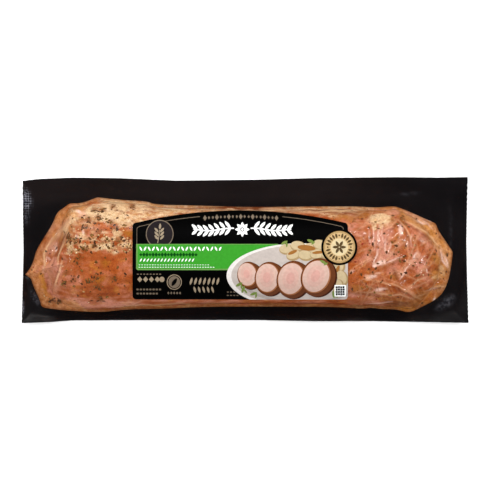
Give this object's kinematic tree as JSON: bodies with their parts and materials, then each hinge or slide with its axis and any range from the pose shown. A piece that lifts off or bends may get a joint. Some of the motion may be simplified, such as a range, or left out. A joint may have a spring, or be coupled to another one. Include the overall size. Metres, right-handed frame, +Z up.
{
  "type": "vacuum-packed marinated pork loin",
  "caption": "Herb-rubbed marinated pork loin, sealed under tight clear film on a black backing film, with a label across its middle.",
  "frame": {"origin": "on the surface that the pack lies on, under the middle of the pack", "axes": "+X along the pack, to the end with the label's round seal; +Y to the loin's fat-capped long side; +Z up through the label"},
  "size_m": [0.3224, 0.1056, 0.0399],
  "materials": {
    "black_film": "smooth black plastic film, softly shining",
    "seasoned_meat": "raw seasoned pork, wet under tight clear film",
    "clear_film": "clear plastic film, shining",
    "label_face": "printed label, satin black with coloured fields"
  },
  "bodies": {
    "root": {"black_backing_film": "black_film", "sealed_pork_loin": "seasoned_meat", "clear_film_rim": "clear_film", "label": "label_face"}
  },
  "joints": []
}
